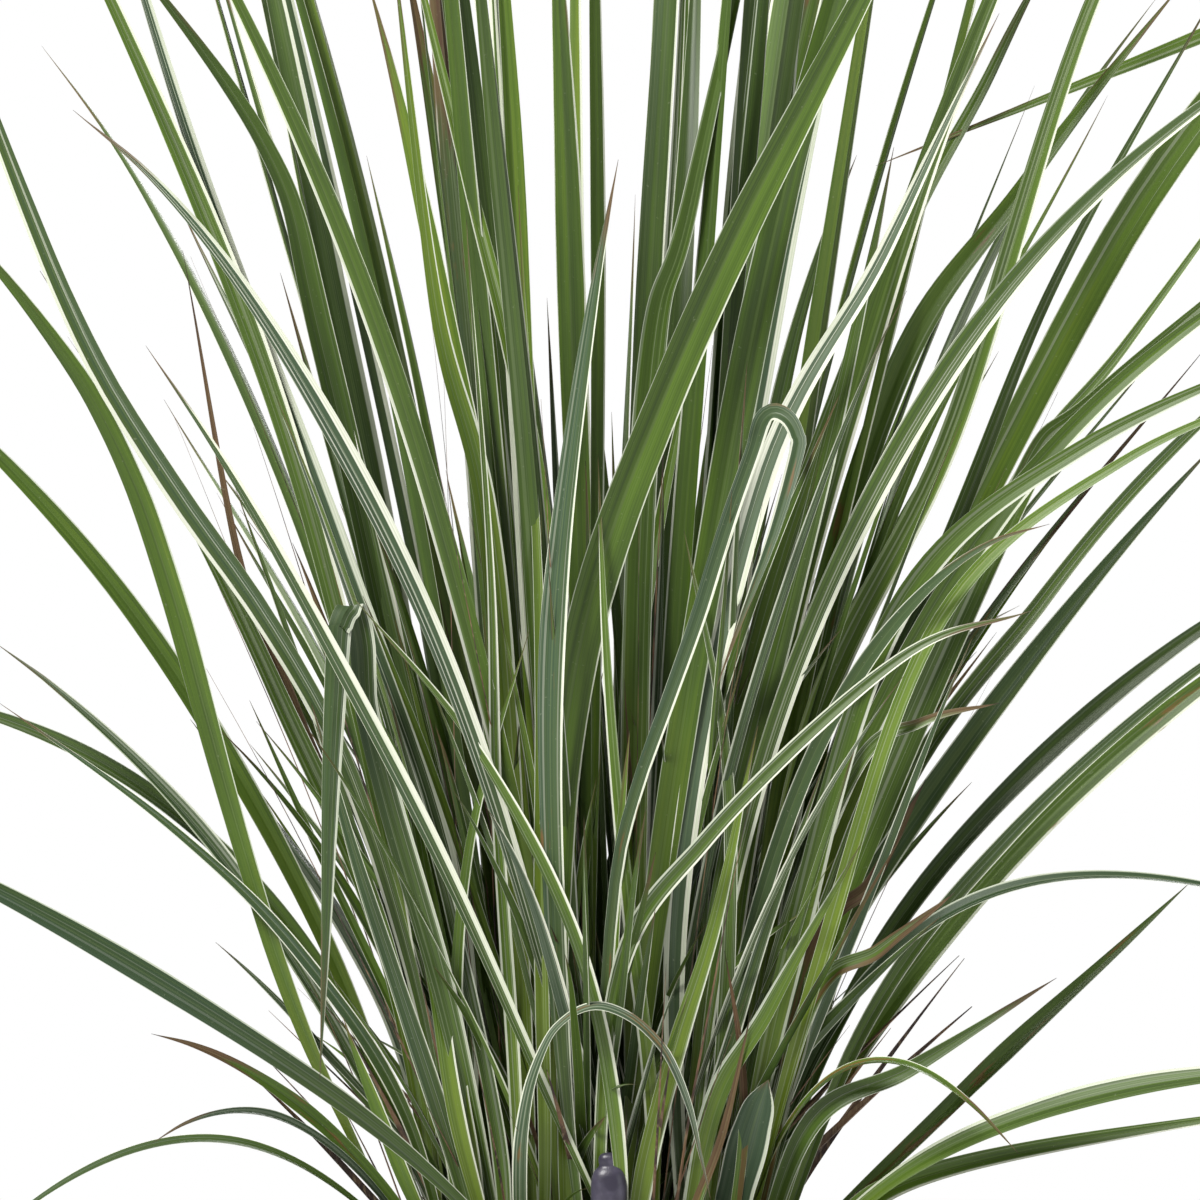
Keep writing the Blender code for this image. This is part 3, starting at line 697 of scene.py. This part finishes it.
class Turf:
    """Collects blades, then makes one mesh object of them."""

    top = len(ACROSS)
    ring = 2 * len(ACROSS) - 2

    def __init__(self):
        self.blades = []

    def add(self, points, sides, half_widths, look, chance, thickness=BLADE_THICKNESS):
        """A blade along the points. sides are its width's directions; its upper face is on the
        side of sides x direction."""
        sides, ups = squared(points, sides)
        lengths = np.concatenate([[0.0], np.cumsum(np.linalg.norm(np.diff(points, axis=0), axis=1))])
        share = lengths / lengths[-1]
        halves = np.maximum(half_widths, LEAST_HALF_WIDTH)
        x = np.array([*ACROSS, *ACROSS[-2:0:-1]])
        below = np.array([0.0] * self.top + [1.0] * (self.ring - self.top))
        flatness = np.array([0.0 if abs(a) == 1.0 else 1.0 - 0.75 * a * a for a in x])
        gutter = look.fold * (1.5 - np.minimum(share / 0.25, 1.0) * 0.5)
        rise = halves[:, None] * gutter[:, None] * (0.75 * np.abs(x) + 0.25 * x * x)
        slim = np.minimum(halves / (2.0 * MM), 1.0)[:, None]
        depth = flatness * (0.5 - below) * thickness * slim - below * (x == 0) * KEEL * slim
        rows = (
            points[:, None, :]
            + sides[:, None, :] * (halves[:, None] * x)[:, :, None]
            + ups[:, None, :] * (rise + depth)[:, :, None]
        )
        self.blades.append((rows, x, below, lengths, share, look, chance))

    def object(self, name, material):
        """One object of all the blades. The map Blade runs across and along every blade, OFBake
        gives each face a place of its own, and the attributes feed the grass material."""
        count = len(self.blades)
        points, faces, blade_uv, bake_uv = [], [], [], []
        looks, wears, runs = [], [], []
        start = 0
        for place, (rows, x, below, lengths, share, look, chance) in enumerate(self.blades):
            steps, ring = rows.shape[0], self.ring
            points.append(rows.reshape(-1, 3))
            r, k = np.meshgrid(np.arange(steps - 1), np.arange(ring), indexing="ij")
            after = (k + 1) % ring
            low, high = r * ring, (r + 1) * ring
            walls = np.stack([low + k, low + after, high + after, high + k], -1).reshape(-1, 4)
            caps = [list(range(ring))[::-1], [(steps - 1) * ring + i for i in range(ring)]]
            faces += (walls + start).tolist() + [[i + start for i in cap] for cap in caps]
            u = (x + 1) / 2
            vertex_uv = np.stack([np.tile(u, steps), np.repeat(lengths * 10, ring)], -1)
            blade_uv.append(vertex_uv[walls].reshape(-1, 2))
            blade_uv += [vertex_uv[cap] for cap in caps]
            lane = np.stack([k, k + 1, k + 1, k], -1).reshape(-1, 4) / ring
            run = np.stack([share[r], share[r], share[r + 1], share[r + 1]], -1).reshape(-1, 4)
            strip = (place + 0.04 + 0.92 * lane) / count
            bake_uv.append(np.stack([strip, 0.012 + 0.976 * run], -1).reshape(-1, 2))
            for cap, base in zip(caps, (0.002, 0.991)):
                k_cap = np.array(cap) % ring
                at = (place + 0.04 + 0.92 * u[k_cap]) / count
                bake_uv.append(np.stack([at, base + 0.007 * below[k_cap]], -1))
            total = steps * ring
            looks.append(np.tile([look.hue, look.margin, look.stripe, look.tip], (total, 1)))
            wears.append(np.tile([look.blotch, look.pale, look.skew, chance], (total, 1)))
            # How strongly painted shade darkens this blade's lower half
            inner = np.full(total, look.inner)
            runs.append(np.stack([np.repeat(share, ring), np.tile(below, steps), inner, inner], -1))
            start += total
        mesh = bpy.data.meshes.new(name)
        mesh.from_pydata(np.vstack(points).tolist(), [], faces)
        for uv_name, values in (("Blade", blade_uv), ("OFBake", bake_uv)):
            layer = mesh.uv_layers.new(name=uv_name)
            layer.data.foreach_set("uv", np.vstack(values).astype(np.float32).ravel())
        for attribute_name, values in (("look", looks), ("wear", wears), ("run", runs)):
            layer = mesh.attributes.new(attribute_name, "FLOAT_COLOR", "POINT")
            layer.data.foreach_set("color", np.vstack(values).astype(np.float32).ravel())
        mesh.shade_smooth()
        mesh.set_sharp_from_angle(angle=math.radians(50))
        mesh.materials.append(material)
        made = bpy.data.objects.new(name, mesh)
        bpy.context.scene.collection.objects.link(made)
        return made


def ripple(rng, points, sides, halves, amount):
    """Slight bends, turns and changes of width, as a living blade has. amount is how far a blade
    400 mm long strays."""
    count = len(points)
    amount *= min(np.linalg.norm(np.diff(points, axis=0), axis=1).sum() / (400 * MM), 1.0)
    t = np.linspace(0, 1, count)
    sides, ups = squared(points, sides)
    phase = [rng.uniform(0, math.tau) for _ in range(5)]
    calm = np.minimum(t / 0.2, 1.0)
    sway = amount * calm * (np.sin(t * 7 + phase[0]) + 0.5 * np.sin(t * 15 + phase[1]))
    swell = 0.6 * amount * calm * np.sin(t * 9 + phase[2])
    points = points + sides * sway[:, None] + ups * swell[:, None]
    turn = math.radians(rng.uniform(4, 12)) * calm * np.sin(t * 6 + phase[3])
    sides = sides * np.cos(turn)[:, None] + ups * np.sin(turn)[:, None]
    halves = halves * (1.0 + 0.035 * np.sin(t * 23 + phase[4]))
    return points, sides, halves


def inside_box(points):
    """The points, with those that stray too far past the CAD box brought back to it."""
    low, high = (np.array(corner) for corner in cad_box)
    return np.clip(points, low - BOX_SPARE, high + BOX_SPARE)


def show_leaf(name, look, material):
    """The blade that stands for one CAD leaf."""
    rng = random.Random(name)
    rows = eased(sections_of(name), LEAF_RINGS)
    points, sides, halves = rows[:, :3], unit(rows[:, 3:6]), np.maximum(rows[:, 6], 0.0)
    middle = LEAF_RINGS // 2
    up = np.cross(sides[middle], points[middle + 1] - points[middle])
    # The upper face looks to the front, and on leaves at the back to the back
    shown = 1.0 if points[middle][1] > BACK_FROM else -1.0
    if up[1] * shown < 0:
        sides = -sides
    t = np.linspace(0, 1, LEAF_RINGS)
    opened = np.minimum(t / OPEN_FROM, 1.0) ** 1.2
    halves = halves * look.girth * (look.foot + (1 - look.foot) * opened)
    points, sides, halves = ripple(rng, points, sides, halves, 0.7 * MM)
    turf = Turf()
    turf.add(points, sides, halves, look, rng.random())
    piece = turf.object(name + "_blade", material)
    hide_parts(name)
    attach(piece, "root")


def chosen_look(rng, inner):
    """One of the looks of a shoot's blades, slightly changed."""
    looks, weights = zip(*FAN_LOOKS)
    look = rng.choices(looks, weights)[0]
    return look._replace(
        hue=min(max(look.hue + rng.uniform(-0.12, 0.12), 0.0), 1.0),
        margin=look.margin * rng.uniform(0.6, 1.4),
        skew=rng.choice((-1, 1)) * rng.uniform(0.0, 0.7),
        stripe=look.stripe * rng.uniform(0.3, 1.2),
        tip=look.tip * rng.uniform(0.6, 1.6),
        fold=rng.choice((-1, 1, 1)) * rng.uniform(0.2, 0.55),
        inner=rng.uniform(*inner),
    )


def width_along(t, taper):
    """Share of the full width: narrow in the sheath, then full, then down to a point."""
    sheath = 0.40
    return (sheath + (1 - sheath) * np.minimum(t / 0.3, 1.0)) * (1.0 - t**taper)


def fan_blade(turf, rng, spine, stand):
    """One blade of a shoot: up beside the spine, then away from it."""
    t = np.linspace(0, 1, FAN_RINGS)
    height = rng.uniform(*stand.height)
    x, y = spine[0][:2]
    outward = math.atan2(y, x) + rng.gauss(0.0, stand.wander)
    rows = eased(spine, SPINE_ROWS)
    spine_share = np.linspace(0, 1, SPINE_ROWS)
    follow = np.stack([np.interp(t * height, spine_share, rows[:, k]) for k in range(3)], -1)
    away = np.array([math.cos(outward), math.sin(outward), 0.0])
    start = rng.uniform(0.5, 4.5)
    lean = start + rng.uniform(*stand.lean) * t ** rng.uniform(*stand.bend)
    points = follow + away * lean[:, None] * MM
    points[:, 2] -= rng.uniform(*stand.droop) * MM * t**3
    points[:, 2] = np.maximum(points[:, 2], CROWN_HEIGHT - 2 * MM + 3 * MM * t)
    sides = level_ways(rng.uniform(0, math.tau) + rng.uniform(-1.6, 1.6) * t)
    halves = rng.uniform(*stand.width) * MM / 2 * width_along(t, taper=rng.uniform(*stand.taper))
    points, sides, halves = ripple(rng, points, sides, halves, 0.7 * MM)
    turf.add(inside_box(points), sides, halves, chosen_look(rng, stand.inner), rng.random())


def show_shoot(name, material):
    """The bundle of blades that stands for one CAD shoot."""
    rng = random.Random(name)
    spine = sections_of(name)[:, :3]
    turf = Turf()
    for stand in STANDS:
        for _ in range(stand.count):
            fan_blade(turf, rng, spine, stand)
    piece = turf.object(name + "_blades", material)
    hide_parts(name)
    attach(piece, "root")


def crown_point(x, y, z):
    """A place given in millimetres from the crown."""
    return np.array([x * MM, y * MM, CROWN_HEIGHT + z * MM])


def back_sprays(rng):
    """Blades that lean out at the sides and the back, where the photo shows nothing."""
    sprays = []
    for _ in range(BACK_BLADES):
        azimuth = rng.uniform(-14, 194)
        a = math.radians(azimuth + rng.gauss(0, 14))
        reach, height = rng.uniform(60, 185), rng.uniform(150, 430)
        stops = []
        for share in (0.3, 0.6, 1.0):
            radius = 40 + reach * share**1.5
            rise = height * share * (1.3 - 0.3 * share)
            stops.append((radius * math.cos(a), radius * math.sin(a), rise))
        look = chosen_look(rng, (0.0, 0.5))
        ring, width = rng.uniform(34, 48), rng.uniform(5, 9.5)
        sprays.append(Spray(azimuth, ring, width, stops, azimuth, look))
    return sprays


def show_sprays(material):
    """The blades between the leaves, one piece for each group."""
    for group, sprays in {**SPRAYS, "back": back_sprays(random.Random("behind"))}.items():
        rng = random.Random(group)
        turf = Turf()
        for one in sprays:
            a = math.radians(one.azimuth)
            foot = crown_point(one.ring * math.cos(a), one.ring * math.sin(a), -1.0)
            route = np.array([foot, *(crown_point(*stop) for stop in one.stops)])
            points = eased(route, LEAF_RINGS)
            t = np.linspace(0, 1, LEAF_RINGS)
            face = math.radians(one.face + rng.uniform(-12, 12))
            front = np.array([math.cos(face), math.sin(face), 0.15])
            ways = unit(np.gradient(points, axis=0))
            sides = unit(np.cross(ways, front))
            halves = one.width * MM / 2 * width_along(t, taper=3.0)
            points, sides, halves = ripple(rng, points, sides, halves, 0.6 * MM)
            turf.add(inside_box(points), sides, halves, one.look, rng.random())
        piece = turf.object(f"{group}_filler_blades", material)
        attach(piece, "root")


def stalk(turf, rng, lean, tall, width):
    """A thin dead blade or stem that rises from the crown."""
    a = rng.uniform(0, math.tau)
    t = np.linspace(0, 1, STALK_RINGS)
    out = np.array([math.cos(a), math.sin(a), 0.0])
    skewed = np.array([-out[1], out[0], 0.0]) * rng.uniform(-0.4, 0.4)
    points = rng.uniform(6, 50) * MM * out + (out + skewed) * (lean * tall * MM * t**1.3)[:, None]
    points[:, 2] = CROWN_HEIGHT + (tall * t - 1.5) * MM
    sides = level_ways(rng.uniform(0, math.tau) + rng.uniform(-1, 1) * t)
    halves = width * MM / 2 * (1.0 - 0.92 * t**2)
    look = Look(fold=rng.uniform(0.4, 0.9))
    points, sides, halves = ripple(rng, points, sides, halves, 0.6 * MM)
    turf.add(inside_box(points), sides, halves, look, rng.random(), STALK_THICKNESS)


def show_stalks(material):
    """Short brown sheaths round the foot of the clump, and thin stems among the blades."""
    rng = random.Random("stalks")
    turf = Turf()
    for _ in range(SHORT_STALKS):
        lean, tall = rng.uniform(0.05, 0.9), rng.uniform(18, 120)
        stalk(turf, rng, lean, tall, rng.choice(STALK_WIDTHS))
    for _ in range(TALL_STALKS):
        lean, tall = rng.uniform(0.02, 0.45), rng.uniform(120, 340)
        stalk(turf, rng, lean, tall, rng.uniform(0.6, 1.1))
    piece = turf.object("dead_stalks", material)
    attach(piece, "root")


# -------- pot, soil and stake


def add_mesh(name, mesh, material, smooth_angle=None):
    data = bpy.data.meshes.new(name)
    mesh.to_mesh(data)
    mesh.free()
    data.materials.append(material)
    if smooth_angle is not None:
        data.shade_smooth()
        data.set_sharp_from_angle(angle=math.radians(smooth_angle))
    made = bpy.data.objects.new(name, data)
    bpy.context.scene.collection.objects.link(made)
    return made


def circle_points(radius, sides):
    """X and Y of evenly spaced points on a circle."""
    angles = [math.tau * i / sides for i in range(sides)]
    return [(radius * math.cos(a), radius * math.sin(a)) for a in angles]


def closed_body(rings):
    """Quads between rings of points, with a flat cap on the first and the last ring."""
    mesh = bmesh.new()
    made = [[mesh.verts.new(point) for point in ring] for ring in rings]
    for low, high in zip(made, made[1:]):
        for i in range(len(low)):
            j = (i + 1) % len(low)
            mesh.faces.new((low[i], low[j], high[j], high[i]))
    mesh.faces.new(list(reversed(made[0])))
    mesh.faces.new(made[-1])
    bmesh.ops.recalc_face_normals(mesh, faces=mesh.faces)
    return mesh


def arc(centre, radius, start, end, count):
    """Points of radius and height on a circular arc, angles in degrees."""
    angles = [math.radians(start + (end - start) * i / (count - 1)) for i in range(count)]
    return [(centre[0] + radius * math.cos(a), centre[1] + radius * math.sin(a)) for a in angles]


def pot_foot_radius():
    """Radius of the CAD pot where its rounded foot ends."""
    corners = [v.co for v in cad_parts["pot"].data.vertices]
    return max(math.hypot(p.x, p.y) for p in corners if p.z < FOOT_EDGE + 0.1 * MM)


def bead_points(wall, height):
    """A shallow raised ring on the wall, whose radius is wall(z)."""
    points = [(wall(height - 2 * MM), height - 2 * MM)]
    for s in (-1.5, -0.75, 0.0, 0.75, 1.5):
        raised = 0.45 * MM * math.cos(s * math.pi / 3.0)
        points.append((wall(height + s * MM) + raised, height + s * MM))
    return points + [(wall(height + 2 * MM), height + 2 * MM)]


def pot_profile():
    """Radius and height all round the wall: up the outside, over the rim and down the inside."""
    rim, _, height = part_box("pot")[1]
    foot = pot_foot_radius()
    shoulder = height - RIM_BAND
    neck = rim - 3.2 * MM

    def outer(z):
        return foot + (neck - foot) * (z - FOOT_EDGE) / (shoulder - FOOT_EDGE)

    low_bead, high_bead = BEADS
    between = [low_bead + 30 * MM * f for f in (0.33, 0.66)]
    outside = [
        (foot - 7 * MM, 0.0),
        *arc((foot - FOOT_EDGE, FOOT_EDGE), FOOT_EDGE, -90, -8, 7),
        *bead_points(outer, low_bead),
        *((outer(z), z) for z in between),
        *bead_points(outer, high_bead),
        (neck, shoulder - 0.8 * MM),
        *arc((neck + 0.6 * MM, shoulder + 0.4 * MM), 1.0 * MM, 250, 350, 5),
        (rim - 1.5 * MM, shoulder + 2.0 * MM),
        (rim - 1.1 * MM, height - 5.2 * MM),
        *arc((rim - 1.7 * MM, height - 1.7 * MM), 1.7 * MM, -30, 90, 9),
    ]
    inside = [
        *arc((rim - 2.2 * MM, height - 1.2 * MM), 1.2 * MM, 90, 180, 5),
        (rim - 3.6 * MM, height - 4.0 * MM),
        (neck - POT_WALL, shoulder + 0.6 * MM),
        (foot - POT_WALL, 5.0 * MM),
        *arc((foot - POT_WALL - 2.6 * MM, 5.0 * MM), 2.6 * MM, 0, -90, 5),
        (foot - 30 * MM, FLOOR_THICKNESS),
    ]
    return [(20 * MM, 0.0), *outside, *inside, (20 * MM, FLOOR_THICKNESS)]


def drain_cutter(material):
    """The pegs that cut the drain holes in the pot's floor."""
    mesh = bmesh.new()
    for i in range(DRAIN_HOLES):
        a = math.tau * (i + 0.5) / DRAIN_HOLES
        x, y = DRAIN_RING * math.cos(a), DRAIN_RING * math.sin(a)
        bmesh.ops.create_cone(
            mesh, segments=32, radius1=DRAIN_RADIUS, radius2=DRAIN_RADIUS, depth=9 * MM, cap_ends=True,
            matrix=Matrix.Translation((x, y, FLOOR_THICKNESS / 2)),
        )
    return add_mesh("hole_cutter", mesh, material)


def show_pot(material):
    """The nursery pot: rolled rim, rim band, two stacking beads, and holes in its floor."""
    rings = [[(x, y, z) for x, y in circle_points(radius, POT_SIDES)] for radius, z in pot_profile()]
    pot = add_mesh("nursery_pot", closed_body(rings), material, 40)
    cutter = drain_cutter(material)
    modifier = pot.modifiers.new("holes", "BOOLEAN")
    modifier.object = cutter
    bpy.context.view_layer.update()
    cut = bpy.data.meshes.new_from_object(pot.evaluated_get(bpy.context.evaluated_depsgraph_get()))
    pot.modifiers.clear()
    pot.data = cut
    cut.set_sharp_from_angle(angle=math.radians(40))
    bpy.data.objects.remove(cutter, do_unlink=True)
    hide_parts("pot")
    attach(pot, "root")


def soil_height(x, y, radius):
    """The uneven top of the soil: a low mound at the crown and a dip beside the wall."""
    r = math.hypot(x, y)
    lumps = noise.fractal(Vector((x, y, 0.3)) * 55, 0.8, 2.2, 5)
    mound = 2.2 * MM * math.exp(-((r / (34 * MM)) ** 2))
    dip = -2.6 * MM * min(max((r - 0.80 * radius) / (0.20 * radius), 0.0), 1.0) ** 2
    return CROWN_HEIGHT + 1.5 * MM * lumps + mound + dip - 0.4 * MM


def show_soil(material, bark):
    """The ball of soil in the pot, with loose crumbs and bark chips on top."""
    low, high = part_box("soil")
    radius = high[0] - 0.2 * MM
    foot = pot_foot_radius() - POT_WALL
    rings = []
    for inset, rise in ((7.0, 1.0), (3.0, 4.0)):
        ring = circle_points(foot - inset * MM, SOIL_SIDES)
        rings.append([(x, y, low[2] + rise * MM) for x, y in ring])
    for step in range(SOIL_STEPS):
        ring = circle_points(radius * (1.0 - step / SOIL_STEPS) ** 0.9, SOIL_SIDES)
        rings.append([(x, y, soil_height(x, y, radius)) for x, y in ring])
    soil = add_mesh("potting_soil", closed_body(rings), material, 60)
    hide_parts("soil")
    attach(soil, "root")
    scatter("soil_crumbs", material, radius, count=420, sizes=(0.7, 2.3), shape=(1.0, 1.0, 0.8), seed=3)
    scatter("bark_chips", bark, radius, count=90, sizes=(2.0, 5.2), shape=(1.0, 0.55, 0.28), seed=7)


def scatter(name, material, radius, count, sizes, shape, seed):
    """Broken lumps that lie on the soil, as one mesh. sizes is their range in millimetres, and
    shape how long, wide and tall they are for their size."""
    rng = random.Random(seed)
    mesh = bmesh.new()
    for _ in range(count):
        r = (radius - 4 * MM) * math.sqrt(rng.random())
        a = rng.uniform(0, math.tau)
        size = rng.uniform(*sizes) * MM
        x, y = r * math.cos(a), r * math.sin(a)
        spot = Matrix.Translation((x, y, soil_height(x, y, radius) + 0.15 * size))
        turn = Matrix.Rotation(rng.uniform(0, math.tau), 4, "Z")
        tilt = Matrix.Rotation(rng.uniform(-0.4, 0.4), 4, "X")
        made = bmesh.ops.create_icosphere(mesh, subdivisions=1, radius=size)["verts"]
        shift = Vector((rng.random(), rng.random(), rng.random())) * 50
        for vertex in made:
            rough = 1.0 + 0.45 * noise.noise(vertex.co / size * 1.4 + shift)
            local = Vector(c * s for c, s in zip(vertex.co * rough, shape))
            vertex.co = spot @ (turn @ tilt) @ local
    piece = add_mesh(name, mesh, material, 38)
    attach(piece, "root")


def stake_rings(low, top):
    """Height and share of the full width: the head, the shank, and the blunt end below."""
    rings = [(top - depth * MM, share) for depth, share in STAKE_HEAD]
    shank_top = rings[-1][0]
    shank_end = low + 8 * MM
    for i in range(1, SHANK_STEPS + 1):
        f = i / SHANK_STEPS
        rings.append((shank_top + (shank_end - shank_top) * f, 1.0 - 0.13 * f))
    return rings + [(low + 0.4 * MM, 0.56)]


def show_stake(material):
    """The blank peg: rounded shoulders, a collar, a small knob and a crescent notch in front."""
    low, high = (Vector(corner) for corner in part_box("label_stake"))
    centre, half = (low + high) / 2, (high - low) / 2
    rings = []
    for z, share in stake_rings(low.z, high.z):
        ring = []
        for c, s in circle_points(1.0, STAKE_SIDES):
            x = half.x * share * math.copysign(abs(c) ** SQUARENESS, c)
            y = half.y * share * math.copysign(abs(s) ** SQUARENESS, s)
            depth = (high.z - z) / MM
            crescent = 9.2 + 1.6 * (x / half.x) ** 2
            notch = math.exp(-(((depth - crescent) / 0.35) ** 2)) * (s < 0) * (abs(x) < 0.62 * half.x)
            ring.append((centre.x + x, centre.y + y + NOTCH_DEPTH * notch, z))
        rings.append(ring)
    stake = add_mesh("blank_stake", closed_body(rings), material, 40)
    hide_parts("label_stake")
    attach(stake, "root")


# -------- studio


def add_light(name, place, aim, size, power, colour=(1.0, 1.0, 1.0)):
    """A square lamp, turned towards the aim."""
    light = bpy.data.lights.new(name, "AREA")
    light.shape = "SQUARE"
    light.size = size
    light.energy = power
    light.color = colour
    made = bpy.data.objects.new(name, light)
    made.location = place
    made.rotation_euler = (Vector(aim) - Vector(place)).to_track_quat("-Z", "Y").to_euler()
    bpy.context.scene.collection.objects.link(made)


def make_world():
    """White behind the plant, and a softer white light on it."""
    world = bpy.data.worlds.new("studio")
    bpy.context.scene.world = world
    world.use_nodes = True
    tree = world.node_tree
    back = tree.nodes["Background"]
    back.inputs["Color"].default_value = (1.0, 1.0, 1.0, 1.0)
    path = tree.nodes.new("ShaderNodeLightPath")
    strength = tree.nodes.new("ShaderNodeMapRange")
    strength.inputs["To Min"].default_value = AMBIENT
    strength.inputs["To Max"].default_value = 1.0
    tree.links.new(path.outputs["Is Camera Ray"], strength.inputs["Value"])
    tree.links.new(strength.outputs[0], back.inputs["Strength"])


def make_camera():
    """A level camera in front, so far off that the blades hardly change size with depth."""
    camera = bpy.data.cameras.new("camera")
    camera.sensor_width = SENSOR_WIDTH
    camera.lens = SENSOR_WIDTH * EYE_DISTANCE / VIEW_WIDTH
    eye = bpy.data.objects.new("camera", camera)
    eye.location = (0.0, -EYE_DISTANCE, EYE_HEIGHT)
    eye.rotation_euler = (math.pi / 2, 0.0, 0.0)
    bpy.context.scene.collection.objects.link(eye)
    bpy.context.scene.camera = eye
    bpy.context.scene.view_settings.view_transform = "Standard"


def make_studio():
    """The floor, the world, three lamps and the camera."""
    mesh = bmesh.new()
    bmesh.ops.create_circle(mesh, cap_ends=True, segments=96, radius=FLOOR_RADIUS)
    floor = add_mesh("studio_floor", mesh, floor_material())
    floor.location.z = -0.2 * MM
    make_world()
    heart = (0.0, 0.0, 0.36)
    add_light("key", (-1.0, -1.5, 1.9), heart, 0.7, 96.0, (1.0, 0.985, 0.96))
    add_light("fill", (1.6, -1.3, 0.7), heart, 1.2, 10.0, (0.96, 0.98, 1.0))
    add_light("rim", (0.5, 1.8, 1.5), heart, 1.0, 32.0)
    make_camera()


def main():
    make_studio()
    grass = grass_material()
    show_pot(pot_material())
    show_soil(soil_material(), bark_material())
    show_stake(stake_material())
    for number, look in LEAF_LOOKS.items():
        show_leaf(f"leaf_{number:02d}", look, grass)
    for name in sorted(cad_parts):
        if name.startswith("shoot_"):
            show_shoot(name, grass)
    show_sprays(grass)
    show_stalks(stalk_material())


main()
